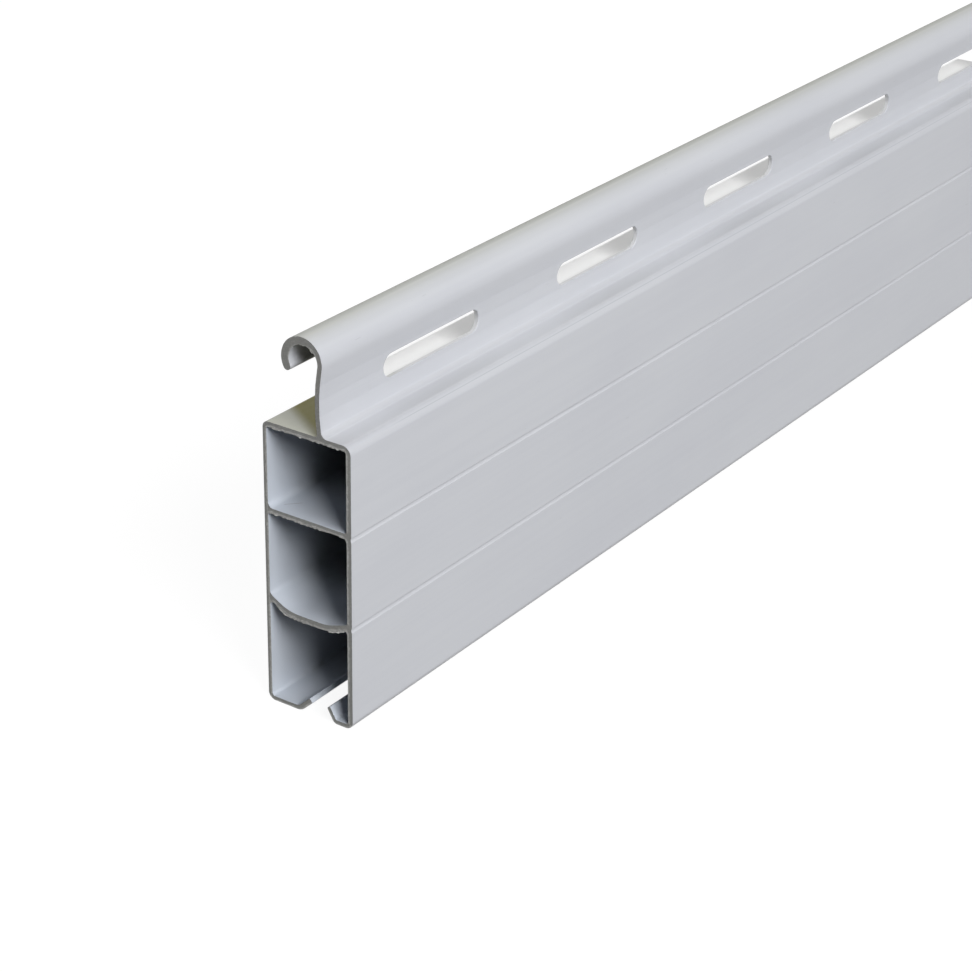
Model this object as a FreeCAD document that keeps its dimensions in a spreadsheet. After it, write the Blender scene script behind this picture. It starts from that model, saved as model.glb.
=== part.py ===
"""Ventilated roller shutter slat: a cut length of extruded rigid PVC profile.

The slat stands upright on the two lips of its open bottom channel.  X runs along
the slat, +Y points to the room side, -Y is the outer face, +Z is up, and the
origin is the centre of the slat's footprint at floor level.  All lengths are in
millimetres and all angles in degrees.
"""
import FreeCAD, Part
import Sketcher
import math
import os

SIZES = {
    # overall
    "slat_length": 200.0,
    "slat_thickness": 14.0,
    "slat_height": 53.5,
    "box_height": 40.6,
    # walls of the hollow box
    "front_wall": 0.75,
    "back_wall": 0.6,
    "top_wall": 0.7,
    "web_wall": 0.65,
    "lip_wall": 0.6,
    # outer corners of the box
    "shoulder_radius": 1.3,
    "ledge_radius": 0.9,
    "foot_radius": 1.1,
    # inner corners of the chambers
    "chamber_radius": 0.45,
    "web_root_radius": 0.8,
    # straight web between the top and the middle chamber
    "upper_web_height": 27.8,
    # dished web above the bottom channel
    "dish_wall": 0.85,
    "dish_height": 13.4,
    "dish_back_rise": 1.7,
    "dish_front_rise": 1.15,
    "dish_back_slope_run": 3.0,
    "dish_front_slope_run": 3.4,
    "dish_bend_radius": 6.5,
    # back lip of the bottom channel, turned up at its end
    "back_lip_flat": 5.5,
    "back_lip_leg": 2.6,
    "back_lip_angle": 43.0,
    "back_lip_tip_wall": 0.75,
    "back_lip_bend_radius": 1.8,
    # front lip of the bottom channel, turned up at its end
    "front_lip_flat": 3.05,
    "front_lip_leg": 2.3,
    "front_lip_angle": 60.0,
    "front_lip_tip_wall": 0.55,
    "front_lip_bend_radius": 0.9,
    "lip_edge_radius": 0.2,
    # neck above the ledge
    "neck_setback": 4.45,
    "neck_bow_radius": 27.0,
    "neck_wall": 0.7,
    "neck_front_fillet": 0.9,
    "neck_back_fillet": 0.35,
    # hook at the top of the neck
    "hook_offset": 0.55,
    "hook_outer_radius": 3.2,
    "hook_inner_radius": 2.25,
    "hook_tip_angle": 28.0,
    # shallow lines along the outer face, opposite the webs
    "line_radius": 0.7,
    "line_depth": 0.1,
    "upper_line_height": 27.75,
    "lower_line_height": 14.8,
    # air slots through the neck
    "vent_length": 21.0,
    "vent_width": 3.3,
    "vent_pitch": 40.0,
    "vent_height": 45.45,
    "first_vent": 23.7,
    "vent_end_margin": 1.0,
}


class Dim:
    """A length or angle that knows its number and its expression on the sheet."""

    def __init__(self, text, value):
        self.text = text
        self.value = value

    def __add__(self, other):
        return Dim("(%s + %s)" % (self.text, other.text), self.value + other.value)

    def __sub__(self, other):
        return Dim("(%s - %s)" % (self.text, other.text), self.value - other.value)

    def __mul__(self, other):
        return Dim("(%s * %s)" % (self.text, other.text), self.value * other.value)

    def __truediv__(self, other):
        return Dim("(%s / %s)" % (self.text, other.text), self.value / other.value)

    def __neg__(self):
        return Dim("(0 - %s)" % self.text, -self.value)


def size(name):
    return Dim("dims." + name, SIZES[name])


def number(value):
    return Dim("%g" % value, float(value))


def sine(angle):
    return Dim("sin(%s * 1 deg)" % angle.text, math.sin(math.radians(angle.value)))


def cosine(angle):
    return Dim("cos(%s * 1 deg)" % angle.text, math.cos(math.radians(angle.value)))


def tangent(angle):
    return Dim("tan(%s * 1 deg)" % angle.text, math.tan(math.radians(angle.value)))


FLOOR = number(0)
TWO = number(2)


def point(y, z):
    """A point of a sketch."""
    return FreeCAD.Vector(y, z, 0)


def origin_plane(body, role):
    for feature in body.Origin.OriginFeatures:
        if feature.Role == role:
            return feature
    raise RuntimeError("no origin plane " + role)


def new_sketch(body, name, role):
    sketch = body.newObject("Sketcher::SketchObject", name)
    sketch.AttachmentSupport = [(origin_plane(body, role), "")]
    sketch.MapMode = "FlatFace"
    return sketch


class Drawing:
    """The geometry and constraints of one sketch, handed over in one go."""

    def __init__(self, sketch):
        self.sketch = sketch
        self.geometry = []
        self.helpers = []
        self.constraints = []
        self.expressions = []

    def add(self, curve, helper=False):
        self.geometry.append(curve)
        self.helpers.append(helper)
        return len(self.geometry) - 1

    def add_arc(self, start, middle, end):
        """Add an arc and say which of its ends, 1 or 2, lies at the start point.

        A sketch's arcs run anticlockwise, whichever way the outline goes.
        """
        clockwise = (middle - start).cross(end - middle).z < 0
        if clockwise:
            return self.add(Part.ArcOfCircle(end, middle, start)), 2, 1
        return self.add(Part.ArcOfCircle(start, middle, end)), 1, 2

    def tie(self, *facts):
        self.constraints.append(Sketcher.Constraint(*facts))

    def bind(self, name, dim, *facts):
        """A driving constraint, tied to the sheet by its name."""
        constraint = Sketcher.Constraint(*facts)
        constraint.Name = name
        self.constraints.append(constraint)
        self.expressions.append((name, dim.text))

    def place(self, geometry, position, name, y, z):
        """Fix a point at its two coordinates from the sketch's origin."""
        self.bind(name + "_y", y, "DistanceX", -1, 1, geometry, position, y.value)
        if z is FLOOR:
            self.tie("PointOnObject", geometry, position, -1)
        else:
            self.bind(name + "_z", z, "DistanceY", -1, 1, geometry, position, z.value)

    def finish(self):
        self.sketch.addGeometry(self.geometry, False)
        for i, helper in enumerate(self.helpers):
            if helper:
                self.sketch.setConstruction(i, True)
        self.sketch.addConstraint(self.constraints)
        for name, text in self.expressions:
            self.sketch.setExpression("Constraints." + name, text)


def add_outline(drawing, prefix, corners):
    """Closed outline of straight runs through the corners, each rounded by its radius."""
    count = len(corners)
    spots = [point(y.value, z.value) for y, z, radius in corners]
    arrivals = []
    leavings = []
    middles = []
    for i in range(count):
        before = (spots[i] - spots[i - 1]).normalize()
        after = (spots[(i + 1) % count] - spots[i]).normalize()
        radius = corners[i][2].value
        half_turn = before.getAngle(after) / 2
        setback = radius * math.tan(half_turn)
        arrivals.append(spots[i] - before * setback)
        leavings.append(spots[i] + after * setback)
        inward = (after - before).normalize()
        to_centre = radius / math.cos(half_turn)
        middles.append(spots[i] + inward * (to_centre - radius))
    runs = []
    for i in range(count):
        runs.append(drawing.add(Part.LineSegment(leavings[i], arrivals[(i + 1) % count])))
    for i in range(count):
        arc, start, end = drawing.add_arc(arrivals[i], middles[i], leavings[i])
        drawing.tie("Tangent", runs[i - 1], 2, arc, start)
        drawing.tie("Tangent", arc, end, runs[i], 1)
        name = "%s_%d" % (prefix, i)
        drawing.bind(name + "_radius", corners[i][2], "Radius", arc, corners[i][2].value)
        corner = drawing.add(Part.Point(spots[i]), True)
        drawing.place(corner, 1, name, corners[i][0], corners[i][1])
        drawing.tie("PointOnObject", corner, 1, runs[i - 1])
        drawing.tie("PointOnObject", corner, 1, runs[i])


def sweep_both_ways(feature, length):
    """Run a pad or pocket the same way to both sides of its sketch."""
    feature.SideType = "Symmetric"
    feature.setExpression("Length", length.text)


def cut_through(body, name, sketch):
    """A pocket that runs through everything on both sides of its sketch."""
    volume = body.Tip.Shape.Volume
    pocket = body.newObject("PartDesign::Pocket", name)
    pocket.Profile = sketch
    pocket.SideType = "Symmetric"
    pocket.Type = "ThroughAll"
    body.Document.recompute()
    if not pocket.Shape.Volume < volume:
        raise RuntimeError(name + " cuts nothing")
    return pocket


def edges_along(shape, y, z):
    """Names of the edges along X that lie at the given Y and Z."""
    found = []
    for i, edge in enumerate(shape.Edges):
        ends = [vertex.Point for vertex in edge.Vertexes]
        if len(ends) == 2 and abs(ends[0].x - ends[1].x) > LONG_EDGE:
            if all(abs(end.y - y) < EDGE_SNAP and abs(end.z - z) < EDGE_SNAP for end in ends):
                found.append("Edge%d" % (i + 1))
    return found


# an edge that runs the whole slat is longer than LONG_EDGE, and counts as being at a
# place when it is within EDGE_SNAP of it
LONG_EDGE = SIZES["slat_length"] / 2
EDGE_SNAP = 0.02

doc = FreeCAD.newDocument("roller_shutter_slat")
sheet = doc.addObject("Spreadsheet::Sheet", "dims")
for row, (name, value) in enumerate(SIZES.items(), start=1):
    sheet.set("A%d" % row, name)
    sheet.set("B%d" % row, "%g" % value)
    sheet.setAlias("B%d" % row, name)
doc.recompute()

slat = doc.addObject("PartDesign::Body", "slat")
slat.Label = "slat"
slat.Placement = FreeCAD.Placement(FreeCAD.Vector(0, 0, 0), FreeCAD.Rotation(0, 0, 0))

front_face = -(size("slat_thickness") / TWO)
back_face = size("slat_thickness") / TWO
front_inside = front_face + size("front_wall")
back_inside = back_face - size("back_wall")
box_top = size("box_height")
under_top = box_top - size("top_wall")

# the dished web falls from both walls to a flat middle
dish_under = size("dish_height")
dish_over = dish_under + size("dish_wall")
dish_back_bend = back_inside - size("dish_back_slope_run")
dish_front_bend = front_inside + size("dish_front_slope_run")
dish_back_rise = size("dish_back_rise")
dish_front_rise = size("dish_front_rise")

# back lip: a flat foot, then a leg turned up towards the front
back_angle = size("back_lip_angle")
back_bend = back_face - size("back_lip_flat")
back_tip_y = back_bend - size("back_lip_leg") * cosine(back_angle)
back_tip_z = size("back_lip_leg") * sine(back_angle)
back_tip_inner_y = back_tip_y + size("back_lip_tip_wall") * sine(back_angle)
back_tip_inner_z = back_tip_z + size("back_lip_tip_wall") * cosine(back_angle)
back_leg_width = size("back_lip_tip_wall") / sine(back_angle)
back_inner_bend = back_bend + back_leg_width - size("lip_wall") / tangent(back_angle)

# front lip: a flat foot, then a leg turned up towards the back
front_angle = size("front_lip_angle")
front_bend = front_face + size("front_lip_flat")
front_tip_y = front_bend + size("front_lip_leg") * cosine(front_angle)
front_tip_z = size("front_lip_leg") * sine(front_angle)
front_tip_inner_y = front_tip_y - size("front_lip_tip_wall") * sine(front_angle)
front_tip_inner_z = front_tip_z + size("front_lip_tip_wall") * cosine(front_angle)
front_leg_width = size("front_lip_tip_wall") / sine(front_angle)
front_inner_bend = front_bend - front_leg_width + size("lip_wall") / tangent(front_angle)

edge = size("lip_edge_radius")
corner = size("chamber_radius")
root = size("web_root_radius")
dish_bend = size("dish_bend_radius")
back_curl = size("back_lip_bend_radius")
front_curl = size("front_lip_bend_radius")
back_curl_inside = back_curl - size("lip_wall")
front_curl_inside = front_curl - size("lip_wall")

# section of the hollow box, with its channel open at the bottom between the lips
box_section = new_sketch(slat, "box_section", "YZ_Plane")
box_drawing = Drawing(box_section)
add_outline(box_drawing, "skin", [
    (front_face, box_top, size("shoulder_radius")),
    (front_face, FLOOR, size("foot_radius")),
    (front_bend, FLOOR, front_curl),
    (front_tip_y, front_tip_z, edge),
    (front_tip_inner_y, front_tip_inner_z, edge),
    (front_inner_bend, size("lip_wall"), front_curl_inside),
    (front_inside, size("lip_wall"), corner),
    (front_inside, dish_under + dish_front_rise, corner),
    (dish_front_bend, dish_under, dish_bend),
    (dish_back_bend, dish_under, dish_bend),
    (back_inside, dish_under + dish_back_rise, corner),
    (back_inside, size("lip_wall"), corner),
    (back_inner_bend, size("lip_wall"), back_curl_inside),
    (back_tip_inner_y, back_tip_inner_z, edge),
    (back_tip_y, back_tip_z, edge),
    (back_bend, FLOOR, back_curl),
    (back_face, FLOOR, size("foot_radius")),
    (back_face, box_top, size("ledge_radius")),
])
box_drawing.finish()
box = slat.newObject("PartDesign::Pad", "box")
box.Profile = box_section
sweep_both_ways(box, size("slat_length"))
doc.recompute()

# the two closed chambers run right through
upper_web_top = size("upper_web_height") + size("web_wall")
chamber_section = new_sketch(slat, "chamber_section", "YZ_Plane")
chamber_drawing = Drawing(chamber_section)
add_outline(chamber_drawing, "middle_chamber", [
    (front_inside, size("upper_web_height"), root),
    (back_inside, size("upper_web_height"), corner),
    (back_inside, dish_over + dish_back_rise, root),
    (dish_back_bend, dish_over, dish_bend),
    (dish_front_bend, dish_over, dish_bend),
    (front_inside, dish_over + dish_front_rise, corner),
])
add_outline(chamber_drawing, "top_chamber", [
    (front_inside, under_top, corner),
    (back_inside, under_top, corner),
    (back_inside, upper_web_top, root),
    (front_inside, upper_web_top, corner),
])
chamber_drawing.finish()
chambers = cut_through(slat, "chambers", chamber_section)

# section of the neck and hook: the neck bows towards the back and runs into the
# outside of the hook, which curls over to the back
hook_y = size("hook_offset")
hook_z = size("slat_height") - size("hook_outer_radius")
foot_y = front_face + size("neck_setback")
foot_z = box_top - size("top_wall") / TWO
outer = size("hook_outer_radius").value
inner = size("hook_inner_radius").value
bow = size("neck_bow_radius").value
neck_wall = size("neck_wall").value
centre = point(hook_y.value, hook_z.value)
foot = point(foot_y.value, foot_z.value)
# the bow's centre is as far from the foot as its radius, and from the hook's centre
# as both radii together
span = foot - centre
reach = span.Length
along = (reach ** 2 + (outer + bow) ** 2 - bow ** 2) / (2 * reach)
aside = math.sqrt((outer + bow) ** 2 - along ** 2)
span.normalize()
bow_centre = centre + span * along + point(span.y, -span.x) * aside
to_hook = (centre - bow_centre).normalize()
join = bow_centre + to_hook * bow
inner_join = bow_centre + to_hook * (bow + neck_wall)
inner_centre = inner_join + to_hook * inner
tip_turn = math.radians(size("hook_tip_angle").value)
tip_way = point(math.cos(tip_turn), -math.sin(tip_turn))
outer_tip = centre + tip_way * outer
offset = centre - inner_centre
side = offset.dot(tip_way)
inner_tip = centre + tip_way * (math.sqrt(side ** 2 - offset.dot(offset) + inner ** 2) - side)
crown = centre + point(0, outer)
inner_crown = inner_centre + point(0, inner)
foot_angle = math.asin((foot.y - bow_centre.y) / (bow + neck_wall))
back_foot = bow_centre + point(math.cos(foot_angle), math.sin(foot_angle)) * (bow + neck_wall)
bow_middle = bow_centre + ((join - bow_centre) + (foot - bow_centre)).normalize() * bow
inner_middle = bow_centre + (bow_middle - bow_centre).normalize() * (bow + neck_wall)
tip_centre = (outer_tip + inner_tip) * 0.5
tip_end = tip_centre + point(-tip_way.y, tip_way.x) * (-(outer_tip - inner_tip).Length / 2)

neck_section = new_sketch(slat, "neck_section", "YZ_Plane")
neck_drawing = Drawing(neck_section)
hook_arc, hook_tip, hook_root = neck_drawing.add_arc(outer_tip, crown, join)
front_arc, front_top, front_foot = neck_drawing.add_arc(join, bow_middle, foot)
foot_line = neck_drawing.add(Part.LineSegment(foot, back_foot))
back_arc, back_foot_end, back_top = neck_drawing.add_arc(back_foot, inner_middle, inner_join)
inner_arc, inner_root, inner_end = neck_drawing.add_arc(inner_join, inner_crown, inner_tip)
tip_arc, tip_inner, tip_outer = neck_drawing.add_arc(inner_tip, tip_end, outer_tip)
centre_line = neck_drawing.add(Part.LineSegment(bow_centre, centre), True)
tip_line = neck_drawing.add(Part.LineSegment(centre, outer_tip), True)
neck_drawing.place(hook_arc, 3, "hook_centre", hook_y, hook_z)
neck_drawing.place(front_arc, front_foot, "neck_foot", foot_y, foot_z)
neck_drawing.bind("hook_outer", size("hook_outer_radius"), "Radius", hook_arc, outer)
neck_drawing.bind("hook_inner", size("hook_inner_radius"), "Radius", inner_arc, inner)
neck_drawing.bind("neck_front", size("neck_bow_radius"), "Radius", front_arc, bow)
back_bow = size("neck_bow_radius") + size("neck_wall")
neck_drawing.bind("neck_back", back_bow, "Radius", back_arc, back_bow.value)
neck_drawing.tie("Tangent", hook_arc, hook_root, front_arc, front_top)
neck_drawing.tie("Tangent", back_arc, back_top, inner_arc, inner_root)
neck_drawing.tie("Coincident", front_arc, front_foot, foot_line, 1)
neck_drawing.tie("Coincident", foot_line, 2, back_arc, back_foot_end)
neck_drawing.tie("Horizontal", foot_line)
neck_drawing.tie("Coincident", back_arc, 3, front_arc, 3)
neck_drawing.tie("Coincident", centre_line, 1, front_arc, 3)
neck_drawing.tie("Coincident", centre_line, 2, hook_arc, 3)
neck_drawing.tie("PointOnObject", inner_arc, 3, centre_line)
neck_drawing.tie("Coincident", tip_line, 1, hook_arc, 3)
neck_drawing.tie("Coincident", tip_line, 2, hook_arc, hook_tip)
neck_drawing.tie("Coincident", tip_arc, tip_outer, hook_arc, hook_tip)
neck_drawing.tie("Coincident", tip_arc, tip_inner, inner_arc, inner_end)
neck_drawing.tie("PointOnObject", inner_arc, inner_end, tip_line)
neck_drawing.tie("PointOnObject", tip_arc, 3, tip_line)
tip_rise = -(size("hook_outer_radius") * sine(size("hook_tip_angle")))
neck_drawing.bind("hook_tip", tip_rise, "DistanceY", hook_arc, 3, hook_arc, hook_tip, tip_rise.value)
neck_drawing.finish()
neck = slat.newObject("PartDesign::Pad", "neck")
neck.Profile = neck_section
sweep_both_ways(neck, size("slat_length"))
doc.recompute()

# the neck flows out into the ledge
ledge_rise = box_top.value - bow_centre.y
for name, face_radius in (("neck_front_fillet", bow), ("neck_back_fillet", bow + neck_wall)):
    edge_y = bow_centre.x + math.sqrt(face_radius ** 2 - ledge_rise ** 2)
    base = slat.Tip
    names = edges_along(base.Shape, edge_y, box_top.value)
    fillet = slat.newObject("PartDesign::Fillet", name)
    fillet.Base = (base, names)
    fillet.setExpression("Radius", size(name).text)
    doc.recompute()

# two shallow lines run along the outer face
line_section = new_sketch(slat, "line_section", "YZ_Plane")
line_drawing = Drawing(line_section)
line_y = front_face - size("line_radius") + size("line_depth")
line_turn = FreeCAD.Vector(0, 0, 1)
for name in ("upper_line", "lower_line"):
    height = size(name + "_height")
    spot = point(line_y.value, height.value)
    circle = line_drawing.add(Part.Circle(spot, line_turn, size("line_radius").value))
    line_drawing.bind(name + "_radius", size("line_radius"), "Radius", circle, size("line_radius").value)
    line_drawing.place(circle, 3, name, line_y, height)
line_drawing.finish()
face_lines = cut_through(slat, "face_lines", line_section)

# one air slot with round ends, then the row of them along the neck
vent_section = new_sketch(slat, "vent_section", "XZ_Plane")
vent_half = size("vent_width") / TWO
vent_x = size("first_vent") - size("slat_length") / TWO
vent_left = vent_x - size("vent_length") / TWO + vent_half
vent_right = vent_x + size("vent_length") / TWO - vent_half
middle = size("vent_height")
left = vent_left.value
right = vent_right.value
low = middle.value - vent_half.value
high = middle.value + vent_half.value
vent_drawing = Drawing(vent_section)
lower_run = vent_drawing.add(Part.LineSegment(point(left, low), point(right, low)))
upper_run = vent_drawing.add(Part.LineSegment(point(right, high), point(left, high)))
right_tip = point(right + vent_half.value, middle.value)
left_tip = point(left - vent_half.value, middle.value)
right_end, right_low, right_high = vent_drawing.add_arc(point(right, low), right_tip, point(right, high))
left_end, left_high, left_low = vent_drawing.add_arc(point(left, high), left_tip, point(left, low))
vent_drawing.tie("Tangent", lower_run, 2, right_end, right_low)
vent_drawing.tie("Tangent", right_end, right_high, upper_run, 1)
vent_drawing.tie("Tangent", upper_run, 2, left_end, left_high)
vent_drawing.tie("Tangent", left_end, left_low, lower_run, 1)
vent_drawing.tie("Horizontal", lower_run)
vent_drawing.tie("Equal", left_end, right_end)
vent_drawing.bind("end_radius", vent_half, "Radius", left_end, vent_half.value)
vent_drawing.place(left_end, 3, "left_centre", vent_left, middle)
vent_drawing.bind("right_centre", vent_right, "DistanceX", -1, 1, right_end, 3, vent_right.value)
vent_drawing.finish()
vent = cut_through(slat, "vent", vent_section)

vent_room = size("slat_length") - size("first_vent") - size("vent_length") / TWO - size("vent_end_margin")
vent_count = "floor(%s / %s) + 1" % (vent_room.text, size("vent_pitch").text)
vent_row = slat.newObject("PartDesign::LinearPattern", "vent_row")
vent_row.Originals = [vent]
vent_row.Direction = (vent_section, ["H_Axis"])
vent_row.Mode = "Spacing"
vent_row.setExpression("Offset", size("vent_pitch").text)
vent_row.setExpression("Occurrences", vent_count)
slat.Tip = vent_row
doc.recompute()

for item in doc.Objects:
    if "Invalid" in item.State or "Error" in item.State:
        raise RuntimeError("%s failed: %s" % (item.Name, item.State))
for sketch in (box_section, chamber_section, neck_section, line_section, vent_section):
    if not sketch.FullyConstrained:
        raise RuntimeError("%s is not fully constrained" % sketch.Name)
shape = slat.Shape
if shape.isNull() or not shape.isValid() or len(shape.Solids) != 1:
    raise RuntimeError("the slat is not one valid solid")

os.makedirs("parts", exist_ok=True)
shape.exportStep("parts/slat.step")
print("slat: volume %.1f mm3, box %s" % (shape.Volume, shape.BoundBox))
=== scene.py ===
"""Looks of a ventilated roller shutter slat: a cut length of extruded rigid PVC.

The slat stands on its two lips.  X runs along it, the outer face looks along -Y,
and Z is up.  Lengths are in metres.
"""

import math

import bpy
from bpy.props import FloatProperty, FloatVectorProperty, IntProperty, PointerProperty
from mathutils import Matrix, Vector


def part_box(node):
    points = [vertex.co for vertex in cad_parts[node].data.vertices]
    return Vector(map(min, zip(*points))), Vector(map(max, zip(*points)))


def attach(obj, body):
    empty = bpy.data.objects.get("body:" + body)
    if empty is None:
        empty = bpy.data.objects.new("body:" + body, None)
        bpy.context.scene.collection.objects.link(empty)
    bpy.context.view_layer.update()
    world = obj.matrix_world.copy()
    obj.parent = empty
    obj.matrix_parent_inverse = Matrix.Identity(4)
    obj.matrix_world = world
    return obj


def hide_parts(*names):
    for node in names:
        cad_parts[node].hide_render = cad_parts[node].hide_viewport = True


bl_info = {
    "name": "Roller Shutter Slat",
    "version": (1, 0, 0),
    "blender": (4, 5, 0),
    "location": "View3D > Sidebar > Slat",
    "description": "Builds a ventilated roller shutter slat, its sawn edges and a pale stage",
    "category": "Object",
}

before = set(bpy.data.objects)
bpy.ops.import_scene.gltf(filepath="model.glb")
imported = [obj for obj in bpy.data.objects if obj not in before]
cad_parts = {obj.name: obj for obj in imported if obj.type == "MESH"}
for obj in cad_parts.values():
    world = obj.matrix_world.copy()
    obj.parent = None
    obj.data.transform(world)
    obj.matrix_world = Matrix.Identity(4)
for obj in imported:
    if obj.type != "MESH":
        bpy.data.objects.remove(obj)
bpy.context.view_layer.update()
NODE = "slat"
BODY = "root"
MM = 0.001
# the box of the solid that the slat stands for, which gives its length
SLAT_LOW, SLAT_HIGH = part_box(NODE)


def length_size(name, description, millimetres):
    """A length that a user may change, kept in metres and shown in the scene's unit."""
    return FloatProperty(
        name=name, description=description, default=millimetres * MM,
        min=0.0, precision=5, unit="LENGTH",
    )


def turn_size(name, description, degrees):
    return FloatProperty(
        name=name, description=description, default=math.radians(degrees),
        precision=3, unit="ROTATION",
    )


def tone(name, description, red, green, blue):
    """A colour given as it is seen on a screen, 0 to 255 a channel."""
    return FloatVectorProperty(
        name=name, description=description, subtype="COLOR", size=3, min=0.0, max=1.0,
        default=tuple(screen_to_light(c / 255) for c in (red, green, blue)),
    )


def screen_to_light(value):
    """The linear light of a screen value between 0 and 1."""
    if value <= 0.04045:
        return value / 12.92
    return ((value + 0.055) / 1.055) ** 2.4


# Sizes and colours


class SectionSizes(bpy.types.PropertyGroup):
    """The slat's section, in the same sizes as the solid's."""

    length: FloatProperty(
        name="Length", description="Length of the cut slat", unit="LENGTH",
        default=SLAT_HIGH.x - SLAT_LOW.x, precision=5)
    thickness: length_size("Thickness", "From the outer face to the back", 14.0)
    height: length_size("Height", "From the lips to the top of the hook", 53.5)
    box_height: length_size("Box height", "From the lips to the ledge", 40.6)
    front_wall: length_size("Front wall", "Wall of the outer face", 0.75)
    back_wall: length_size("Back wall", "Wall of the back", 0.6)
    top_wall: length_size("Top wall", "Wall under the ledge", 0.7)
    web_wall: length_size("Web wall", "Wall of the straight web", 0.65)
    dish_wall: length_size("Dish wall", "Wall of the dished web", 0.85)
    lip_wall: length_size("Lip wall", "Wall of both lips", 0.6)
    shoulder_radius: length_size("Shoulder radius", "Front edge of the ledge", 1.3)
    ledge_radius: length_size("Ledge radius", "Back edge of the ledge", 0.9)
    foot_radius: length_size("Foot radius", "Outer edges of both lips", 1.1)
    chamber_radius: length_size("Chamber radius", "Small corners inside", 0.45)
    root_radius: length_size("Web root radius", "Wide corners inside", 0.8)
    web_height: length_size("Web height", "Underside of the straight web", 27.8)
    dish_height: length_size("Dish height", "Underside of the dished web", 13.4)
    dish_back_rise: length_size("Dish back rise", "How far the dish rises at the back", 1.7)
    dish_front_rise: length_size("Dish front rise", "How far it rises at the front", 1.15)
    dish_back_run: length_size("Dish back run", "Width of the slope at the back", 3.0)
    dish_front_run: length_size("Dish front run", "Width of the slope at the front", 3.4)
    dish_bend: length_size("Dish bend", "Radius of the dish's bends", 6.5)
    back_flat: length_size("Back lip flat", "Flat foot of the back lip", 5.5)
    back_leg: length_size("Back lip leg", "Turned-up leg of the back lip", 2.6)
    back_turn: turn_size("Back lip turn", "Slope of that leg", 43.0)
    back_tip: length_size("Back lip tip", "Wall at the leg's end", 0.75)
    back_bend: length_size("Back lip bend", "Outer radius of its bend", 1.8)
    front_flat: length_size("Front lip flat", "Flat foot of the front lip", 3.05)
    front_leg: length_size("Front lip leg", "Turned-up leg of the front lip", 2.3)
    front_turn: turn_size("Front lip turn", "Slope of that leg", 60.0)
    front_tip: length_size("Front lip tip", "Wall at the leg's end", 0.55)
    front_bend: length_size("Front lip bend", "Outer radius of its bend", 0.9)
    lip_edge: length_size("Lip edge", "Rounding of the lips' ends", 0.2)
    neck_setback: length_size("Neck setback", "From the outer face to the neck", 4.45)
    neck_bow: length_size("Neck bow", "Radius of the neck's hollow front", 27.0)
    neck_wall: length_size("Neck wall", "Wall of the neck", 0.7)
    neck_front_fillet: length_size("Front fillet", "Neck to ledge, outside", 0.9)
    neck_back_fillet: length_size("Back fillet", "Neck to ledge, inside", 0.35)
    hook_offset: length_size("Hook offset", "Hook's centre behind the middle", 0.55)
    hook_outer: length_size("Hook outer radius", "Outside of the hook", 3.2)
    hook_inner: length_size("Hook inner radius", "Inside of the hook", 2.25)
    hook_turn: turn_size("Hook turn", "Where the hook ends below level", 28.0)
    line_radius: length_size("Line radius", "Round bottom of the face lines", 0.7)
    line_depth: length_size("Line depth", "Depth of the face lines", 0.1)
    upper_line: length_size("Upper line", "Height of the upper face line", 27.75)
    lower_line: length_size("Lower line", "Height of the lower face line", 14.8)
    rows: IntProperty(
        name="Rows", description="Cross rows of the swept mesh", default=46, min=8)


class VentSizes(bpy.types.PropertyGroup):
    """The row of air slots through the neck."""

    length: length_size("Slot length", "From round end to round end", 21.0)
    width: length_size("Slot width", "Height of the opening", 3.3)
    pitch: length_size("Slot pitch", "From one slot to the next", 40.0)
    height: length_size("Slot height", "Middle of the slots above the lips", 45.45)
    first: length_size("First slot", "Middle of the first slot from the cut end", 23.7)
    rim: length_size("Rim rounding", "Rounding of the punched rims", 0.09)
    count: IntProperty(name="Slots", description="How many slots", default=5, min=1)


class SawSizes(bpy.types.PropertyGroup):
    """What the saw left at both ends."""

    rim: length_size("Rim", "Width of the outline along the cut walls", 0.16)
    wobble: length_size("Wobble", "How far the cut edge strays into the wall", 0.05)
    edge_row: length_size("Edge row", "Length of the strayed edge", 0.3)
    burr: length_size("Burr", "Thickness of the ragged burr", 0.32)
    burr_step: length_size("Burr step", "Length of one tooth of the burr", 0.09)
    seed: IntProperty(name="Seed", description="Draw of the ragged edges", default=4)


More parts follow.
